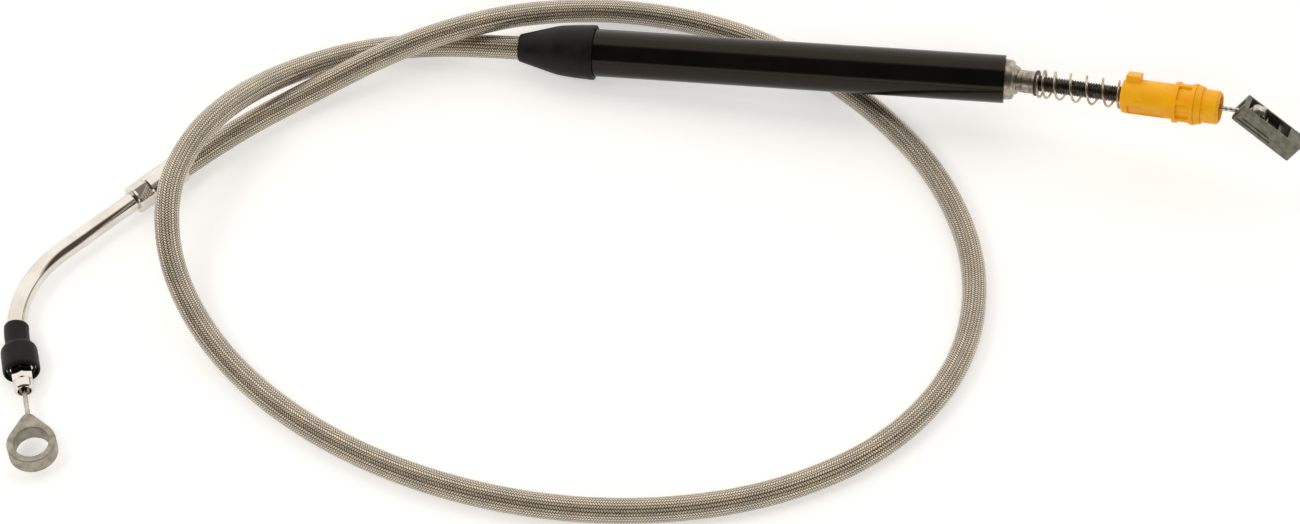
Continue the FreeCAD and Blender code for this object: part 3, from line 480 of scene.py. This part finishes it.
black_rubber = varied(
    "black_rubber",
    tint=(0.006, 0.006, 0.006),
    worn=(0.013, 0.012, 0.011),
    patch=6.0,
    gloss=(0.40, 0.54),
    grain=0.35,
    depth=0.03,
    sockets={"Specular IOR Level": 0.16},
)
nose = lay_along(nose_point, heading(nose_bearing))
dress("nose_ferrule", bright_chrome)
seal_turns = [2 * math.pi * k / seal_steps for k in range(seal_steps)]
seal_rows = [
    ring(
        nose,
        seal_middle - math.cos(a) * seal_half,
        rubber_sides,
        seal_station + math.sin(a) * seal_half,
    )
    for a in reversed(seal_turns)
]
seal = make_piece("nose_seal_ring", seal_rows, black_rubber, "cable", closed=True)
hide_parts("nose_seal")


# Nose boot: moulded black rubber, a wide cup over the ferrule's flange and a
# snug neck that bends with the elbow. It is pushed on and grips by its neck.
elbow_radius = 42.0
neck_turn = 7.5
neck_outside, neck_inside = 4.45, 3.62
neck_bead = 0.25
neck_steps = 12
cup_outside, cup_inside = 6.6, 5.8
cup_shoulder, cup_floor, cup_mouth = 3.4, 5.2, 15.0


def eased(corners, steps=4):
    """A profile of (along, radius, easing) corners with each corner rounded by its easing."""
    points = []
    for k, (along, radius, easing) in enumerate(corners):
        here = Vector((along, radius))
        if easing <= 0:
            points.append(here)
            continue
        before = Vector(corners[k - 1][:2])
        after = Vector(corners[(k + 1) % len(corners)][:2])
        first = here + (before - here).normalized() * min(easing, (before - here).length / 2)
        last = here + (after - here).normalized() * min(easing, (after - here).length / 2)
        for step in range(steps + 1):
            t = step / steps
            points.append(first * (1 - t) ** 2 + here * (2 * t * (1 - t)) + last * t**2)
    return points


elbow_centre = nose_point + Vector((0, 0, 1)).cross(nose[3]) * elbow_radius


def round_elbow(back):
    """Where a part lies that far back round the elbow from the nose, in degrees."""
    swing = math.radians(-back)
    turned = []
    for v in (nose_point - elbow_centre, nose[1], nose[2], nose[3]):
        x = v.x * math.cos(swing) - v.y * math.sin(swing)
        y = v.x * math.sin(swing) + v.y * math.cos(swing)
        turned.append(Vector((x, y, v.z)))
    return (elbow_centre + turned[0], *turned[1:])


boot_rows = []
for k in range(neck_steps):
    back = neck_turn * (1 - k / neck_steps)
    outside = neck_outside if k else neck_outside - neck_bead
    boot_rows.append(ring(round_elbow(back), outside, rubber_sides))
boot_profile = eased(
    [
        (cup_shoulder - 0.1, neck_outside, 0.1),
        (cup_shoulder, neck_outside + 0.45, 0.2),
        (cup_floor, cup_outside - 0.15, 1.0),
        (9.0, cup_outside, 2.0),
        (cup_mouth - 0.8, cup_outside, 0.3),
        (cup_mouth, cup_outside - 0.25, 0.25),
        (cup_mouth, cup_inside, 0.15),
        (cup_floor, cup_inside, 0.3),
        (cup_floor, neck_inside, 0.2),
    ]
)
boot_rows += [ring(nose, radius, rubber_sides, along) for along, radius in boot_profile]
for k in range(neck_steps):
    back = neck_turn * (k + 1) / neck_steps
    boot_rows.append(ring(round_elbow(back), neck_inside, rubber_sides))
nose_boot = make_piece("nose_rubber_boot", boot_rows, black_rubber, "cable", closed=True)
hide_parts("nose_boot")


# Lever wire and eyelet: the stranded inner wire comes out of the nose and is cast
# into a plain zinc ring that drops over the lever's pin.
wire_radius = 0.9
wire_strands = 6
wire_lead = 11.0
wire_groove = 0.20
wire_step = 0.45
lever_wire_span = (14.3, 39.1)


def stranded(name, laid, start, stop, finish, body):
    """A twisted wire rope along a part's axis, from start to stop."""
    sides = wire_strands * 6
    rows = []
    count = int((stop - start) / wire_step) + 1
    origin, up, side, axis = laid
    for k in range(count + 1):
        along = start + (stop - start) * k / count
        twist = 2 * math.pi * along / wire_lead
        row = []
        for s in range(sides):
            a = 2 * math.pi * s / sides
            swell = abs(math.cos(wire_strands * (a - twist) / 2))
            radius = wire_radius * (1 - wire_groove + wire_groove * swell)
            row.append(origin + axis * along + (up * math.cos(a) + side * math.sin(a)) * radius)
        rows.append(row)
    return make_piece(name, rows, finish, body, edge=70.0)


cast_zinc = varied(
    "cast_zinc",
    tint=(0.39, 0.365, 0.305),
    worn=(0.28, 0.255, 0.21),
    patch=3.5,
    gloss=(0.38, 0.58),
    grain=0.9,
    depth=0.10,
    sockets={"Metallic": 0.75},
)
lever_rope = stranded("lever_wire_rope", nose, *lever_wire_span, drawn_steel, "lever_end")
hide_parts("lever_wire")
dress("lever_eyelet", cast_zinc)


# Barrel: a long thin-walled steel tube in gloss black, closed by a plastic plug
# that holds the casing. A nylon guide leads the wire to the swivel's seat.
barrel_end = Vector((129.5, 63.9, 23.0))
barrel_bearing, barrel_pitch = -8.75, 4.3
barrel = lay_along(barrel_end, heading(barrel_bearing, barrel_pitch))
gloss_black = varied(
    "gloss_black",
    tint=(0.002, 0.002, 0.002),
    worn=(0.004, 0.0035, 0.003),
    patch=20.0,
    gloss=(0.10, 0.17),
    grain=3.0,
    depth=0.012,
    sockets={"Specular IOR Level": 0.30, "Specular Tint": (1.0, 0.84, 0.66, 1.0)},
)
black_plastic = varied(
    "black_plastic",
    tint=(0.014, 0.014, 0.014),
    worn=(0.024, 0.023, 0.022),
    patch=4.0,
    gloss=(0.35, 0.50),
    grain=0.5,
    depth=0.02,
)
dress("barrel_tube", gloss_black)
dress("barrel_plug", black_plastic)
dress("barrel_guide", milky_nylon)
dress("barrel_wire", drawn_steel)
dress("swivel_seat", black_plastic)


# Barrel boot: moulded black rubber over the barrel's end and its plug, a cup that
# grips the tube and a cone down to the casing.
lathe_sides = 72
casing_hole, casing_mouth = 4.62, 5.2
cone_end, cone_top = -184.0, -168.8
cone_radius, cup_radius, rim_radius = 9.4, 10.15, 10.4
rim_start, rim_end = -156.8, -154.7
cup_hole, cup_depth = 9.05, -168.5
throat_end = -176.4
barrel_boot_profile = eased(
    [
        (cone_end, casing_hole, 0.3),
        (cone_end, casing_mouth, 0.5),
        (cone_top, cone_radius, 2.0),
        (-161.0, cup_radius, 3.0),
        (rim_start - 0.4, rim_radius - 0.1, 0.3),
        (rim_start, rim_radius, 0.2),
        (rim_end, rim_radius, 0.4),
        (rim_end, cup_hole, 0.2),
        (cup_depth, cup_hole, 0.1),
        (throat_end, casing_hole, 0.2),
    ]
)
barrel_boot_rows = [
    ring(barrel, radius, lathe_sides, along) for along, radius in barrel_boot_profile
]
barrel_boot = make_piece(
    "barrel_rubber_boot", barrel_boot_rows, black_rubber, "cable", closed=True
)
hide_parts("barrel_boot")


# Swivel: a plated steel bush staked into the barrel's end. It holds the ball of
# the adjuster stud, which leans about in it.
plated_steel = varied(
    "plated_steel",
    tint=(0.43, 0.395, 0.335),
    worn=(0.25, 0.225, 0.185),
    patch=2.4,
    gloss=(0.26, 0.46),
    grain=0.4,
    depth=0.03,
    sockets={"Metallic": 1.0},
)
bush_ball, bush_ball_at = 5.85, 2.0
bush_steps = 12
bush_back, bush_seat, bush_face = -3.0, 0.05, 3.6
spigot_radius, bush_radius = 7.35, 7.5
bush_profile = eased(
    [
        (bush_back, 3.1, 0.0),
        (bush_back, spigot_radius, 0.3),
        (bush_seat, spigot_radius, 0.05),
        (bush_seat, bush_radius, 0.05),
        (bush_face - 1.0, bush_radius - 0.05, 0.8),
        (bush_face, bush_radius - 0.9, 0.9),
        (bush_face, 5.63, 0.1),
    ]
)
for k in range(1, bush_steps):
    along = bush_face - (bush_face - bush_back) * k / bush_steps
    bush_profile.append((along, math.sqrt(bush_ball**2 - (along - bush_ball_at) ** 2)))
bush_rows = [ring(barrel, radius, lathe_sides, along) for along, radius in bush_profile]
bush = make_piece("end_bush_turned", bush_rows, plated_steel, "cable", closed=True)
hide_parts("end_bush")


# Adjuster stud: turned steel, a ball and a short shank in bright zinc plate and a
# long dark thread that the yellow housing is set along. A washer sits on its step.
swivel_centre = Vector((131.471, 63.597, 23.150))
stud_bearing, stud_pitch = -18.67, 9.32
stud = lay_along(swivel_centre, heading(stud_bearing, stud_pitch))
ball_radius, ball_steps = 5.8, 12
shank_start, shank_radius, shank_end = 3.2, 4.2, 9.7
shank_grooves = ((4.9, 5.2), (8.15, 8.5))
shank_groove_depth = 0.16
thread_radius, thread_root = 3.0, 2.58
thread_end, thread_chamfer = 58.0, 0.6
thread_pitch = 1.0
stud_sides = 48
stud_steps_per_mm = 10
shank_tints = ((0.44, 0.405, 0.345, 1.0), (0.24, 0.215, 0.175, 1.0))
thread_tints = ((0.13, 0.115, 0.095, 1.0), (0.05, 0.043, 0.035, 1.0))
tool_mark_pitch = 0.35


def stud_radius(along, turn):
    """The stud's radius at a station, the thread's crest following the turn."""
    if along < shank_start:
        return math.sqrt(max(ball_radius**2 - along**2, shank_radius**2))
    if along < shank_end:
        grooved = any(first < along < last for first, last in shank_grooves)
        return shank_radius - (shank_groove_depth if grooved else 0.0)
    if along > thread_end - thread_chamfer:
        return thread_root
    phase = (along / thread_pitch - turn) % 1.0
    crest = min(1.0, max(0.0, 1.25 - 3.2 * abs(phase - 0.5)))
    return thread_root + (thread_radius - thread_root) * crest


stud_rows = []
origin, up, side, axis = stud
for k in range(1, ball_steps + 1):
    along = -ball_radius * math.cos(math.pi / 2 * k / ball_steps)
    radius = math.sqrt(max(ball_radius**2 - along**2, 0.01))
    stud_rows.append(ring(stud, radius, stud_sides, along))
for step in range(1, int(thread_end * stud_steps_per_mm) + 1):
    along = step / stud_steps_per_mm
    if along < shank_end - 0.1 and step % 2:
        continue
    row = []
    for k in range(stud_sides):
        a = 2 * math.pi * k / stud_sides
        reach = stud_radius(along, k / stud_sides)
        row.append(origin + axis * along + (up * math.cos(a) + side * math.sin(a)) * reach)
    stud_rows.append(row)

stud_steel, tree, shader = new_finish("stud_steel", {"Metallic": 1.0})
place = put(tree, "TexCoord").outputs["Object"]
inputs = {0: place, 1: tuple(stud[3])}
station = put(tree, "VectorMath", inputs, operation="DOT_PRODUCT").outputs["Value"]
thread_starts = stud[3].dot(swivel_centre) * MM + (shank_end + 0.05) * MM
on_thread = ramp(tree, station, thread_starts, thread_starts + 0.1 * MM)
patches = speckle(tree, 2.2, 5.0)
shank_tint = mixed(tree, ramp(tree, patches, 0.35, 0.65), *shank_tints)
thread_tint = mixed(tree, ramp(tree, patches, 0.35, 0.65), *thread_tints)
tree.links.new(mixed(tree, on_thread, shank_tint, thread_tint), shader.inputs["Base Color"])
tree.links.new(ramp(tree, patches, 0.2, 0.8, 0.24, 0.42), shader.inputs["Roughness"])
tool_turns = reckon(tree, "MULTIPLY", station, 2 * math.pi / (tool_mark_pitch * MM))
tool_marks = reckon(tree, "SINE", tool_turns)
relief(tree, shader, reckon(tree, "ADD", tool_marks, patches), 0.012)

stud_piece = make_piece("threaded_stud_turned", stud_rows, stud_steel, "stud")
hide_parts("threaded_stud")
dress("spring_washer", black_plastic)


# Adjuster spring: one length of bright spring wire, close at the washer and open
# from there on. It presses the housing away and is pushed together by it.
spring_foot = 10.6
spring_middle = 4.95
spring_wire_radius = 0.45
spring_wire_sides = 14
spring_first_turned = 8.0
spring_ease = 0.07
spring_stretches = [(1.0, 1.9), (1.0, 4.3), (4.0, 6.1), (0.5, 1.0)]
spring_steps_per_turn = 48


def spring_rise(turn):
    """The wire's height above its first turn after so many turns."""
    rise = 0.0
    for turns, pitch in spring_stretches:
        rise += min(turn, turns) * pitch
        turn = max(0.0, turn - turns)
    return rise


spring_turns = sum(turns for turns, _ in spring_stretches)
spring_count = int(spring_turns * spring_steps_per_turn)
spring_line = []
for k in range(spring_count + 1):
    turn = spring_turns * k / spring_count
    near = max(0.0, turn - spring_ease)
    far = min(spring_turns, turn + spring_ease)
    rise = (spring_rise(near) + 2 * spring_rise(turn) + spring_rise(far)) / 4
    a = math.radians(spring_first_turned) + 2 * math.pi * turn
    around_axis = up * math.cos(a) + side * math.sin(a)
    spring_line.append(
        origin
        + axis * (spring_foot + spring_wire_radius + rise)
        + around_axis * spring_middle
    )
spring_rows = []
for k, spot in enumerate(spring_line):
    before, after = spring_line[max(k - 1, 0)], spring_line[min(k + 1, spring_count)]
    run = (after - before).normalized()
    outward = (spot - origin) - axis * (spot - origin).dot(axis)
    outward = (outward - run * outward.dot(run)).normalized()
    laid = (spot, outward, run.cross(outward), run)
    spring_rows.append(ring(laid, spring_wire_radius, spring_wire_sides))
spring_wire = varied(
    "spring_wire",
    tint=(0.56, 0.49, 0.40),
    worn=(0.32, 0.26, 0.19),
    patch=2.6,
    gloss=(0.24, 0.36),
    grain=0.6,
    depth=0.005,
    sockets={"Metallic": 1.0},
)
spring = make_piece("adjuster_wire_spring", spring_rows, spring_wire, "stud")
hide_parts("adjuster_spring")
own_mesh(spring)


# Adjuster housing: moulded yellow plastic, with a lug, a recess and a nozzle. It
# slides along the thread until its jaws are locked by the ribbed ring.
yellow_tints = ((1.0, 0.49, 0.008, 1.0), (0.96, 0.435, 0.007, 1.0))
grime_tint = (0.42, 0.17, 0.02, 1.0)
grime_share = 0.45
yellow_plastic, tree, shader = new_finish(
    "yellow_plastic",
    {"Subsurface Weight": 0.08, "Subsurface Scale": 0.001, "Specular IOR Level": 0.28},
)
patches = speckle(tree, 5.0, 5.0)
grime = speckle(tree, 1.6, 6.0)
clean = mixed(tree, ramp(tree, patches, 0.3, 0.7), *yellow_tints)
soiled = mixed(tree, ramp(tree, grime, 0.60, 0.80, 0.0, grime_share), clean, grime_tint)
tree.links.new(soiled, shader.inputs["Base Color"])
tree.links.new(ramp(tree, patches, 0.25, 0.75, 0.30, 0.46), shader.inputs["Roughness"])
relief(tree, shader, speckle(tree, 0.8, 4.0), 0.03)
dress("adjuster_housing", yellow_plastic)
dress("lock_ring", yellow_plastic)
dress("thread_jaws", black_plastic)


# Release wire and nipple: the inner wire's other end comes out of the nozzle and
# carries a bright cast ball, which turns in the link's head.
release_wire_span = (10.0, 92.0)
release_rope = stranded("release_wire_rope", stud, *release_wire_span, drawn_steel, "release")
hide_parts("release_wire")
bright_nipple = varied(
    "bright_nipple",
    tint=(0.56, 0.54, 0.50),
    worn=(0.36, 0.34, 0.30),
    patch=2.0,
    gloss=(0.20, 0.36),
    grain=0.5,
    depth=0.03,
    sockets={"Metallic": 1.0},
)
dress("wire_nipple", bright_nipple)


# Link: a small dark die casting, a trough with walls round the ball and a slot for
# the wire. A brass clip and a rubber block behind the ball keep it in the head.
dark_casting = varied(
    "dark_casting",
    tint=(0.115, 0.115, 0.092),
    worn=(0.22, 0.21, 0.17),
    patch=2.2,
    gloss=(0.36, 0.55),
    grain=0.6,
    depth=0.06,
    sockets={"Metallic": 0.85},
)
brass = varied(
    "brass",
    tint=(0.62, 0.42, 0.16),
    worn=(0.44, 0.29, 0.11),
    patch=1.6,
    gloss=(0.25, 0.40),
    grain=0.4,
    depth=0.02,
    sockets={"Metallic": 1.0},
)
dress("release_link", dark_casting)
dress("link_clip", brass)
link_pivot = Vector((217.526, 34.519, 38.057))
link_bearing, link_pitch = -27.0, -26.5
link_along = heading(link_bearing, link_pitch)
link_across = stud[3].cross(link_along).normalized()
link_rise = link_along.cross(link_across)
block_start, block_stop = 5.3, 9.65
block_half, block_floor, block_top = 3.05, -4.65, -0.35
block_end_round, block_round, block_round_middle = 0.25, 0.5, 0.15
block_groove, block_groove_depth, block_groove_ease = 7.25, 0.30, 0.15
block_groove_width = 0.2
block_rows = []
for along, inset in (
    (block_start, block_end_round),
    (block_start + block_end_round, 0.0),
    (block_groove - block_groove_ease, 0.0),
    (block_groove, block_groove_depth),
    (block_groove + block_groove_width, block_groove_depth),
    (block_groove + block_groove_width + block_groove_ease, 0.0),
    (block_stop - block_end_round, 0.0),
    (block_stop, block_end_round),
):
    half, top = block_half - inset * 0.6, block_top - inset
    row = []
    for across, rise in (
        (-half, block_floor),
        (half, block_floor),
        (half, top - block_round),
        (half - block_round_middle, top - block_round_middle),
        (half - block_round, top),
        (-half + block_round, top),
        (-half + block_round_middle, top - block_round_middle),
        (-half, top - block_round),
    ):
        row.append(link_pivot + link_along * along + link_across * across + link_rise * rise)
    block_rows.append(row)
retainer = make_piece("link_rubber_block", block_rows, black_rubber, "link")
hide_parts("link_retainer")
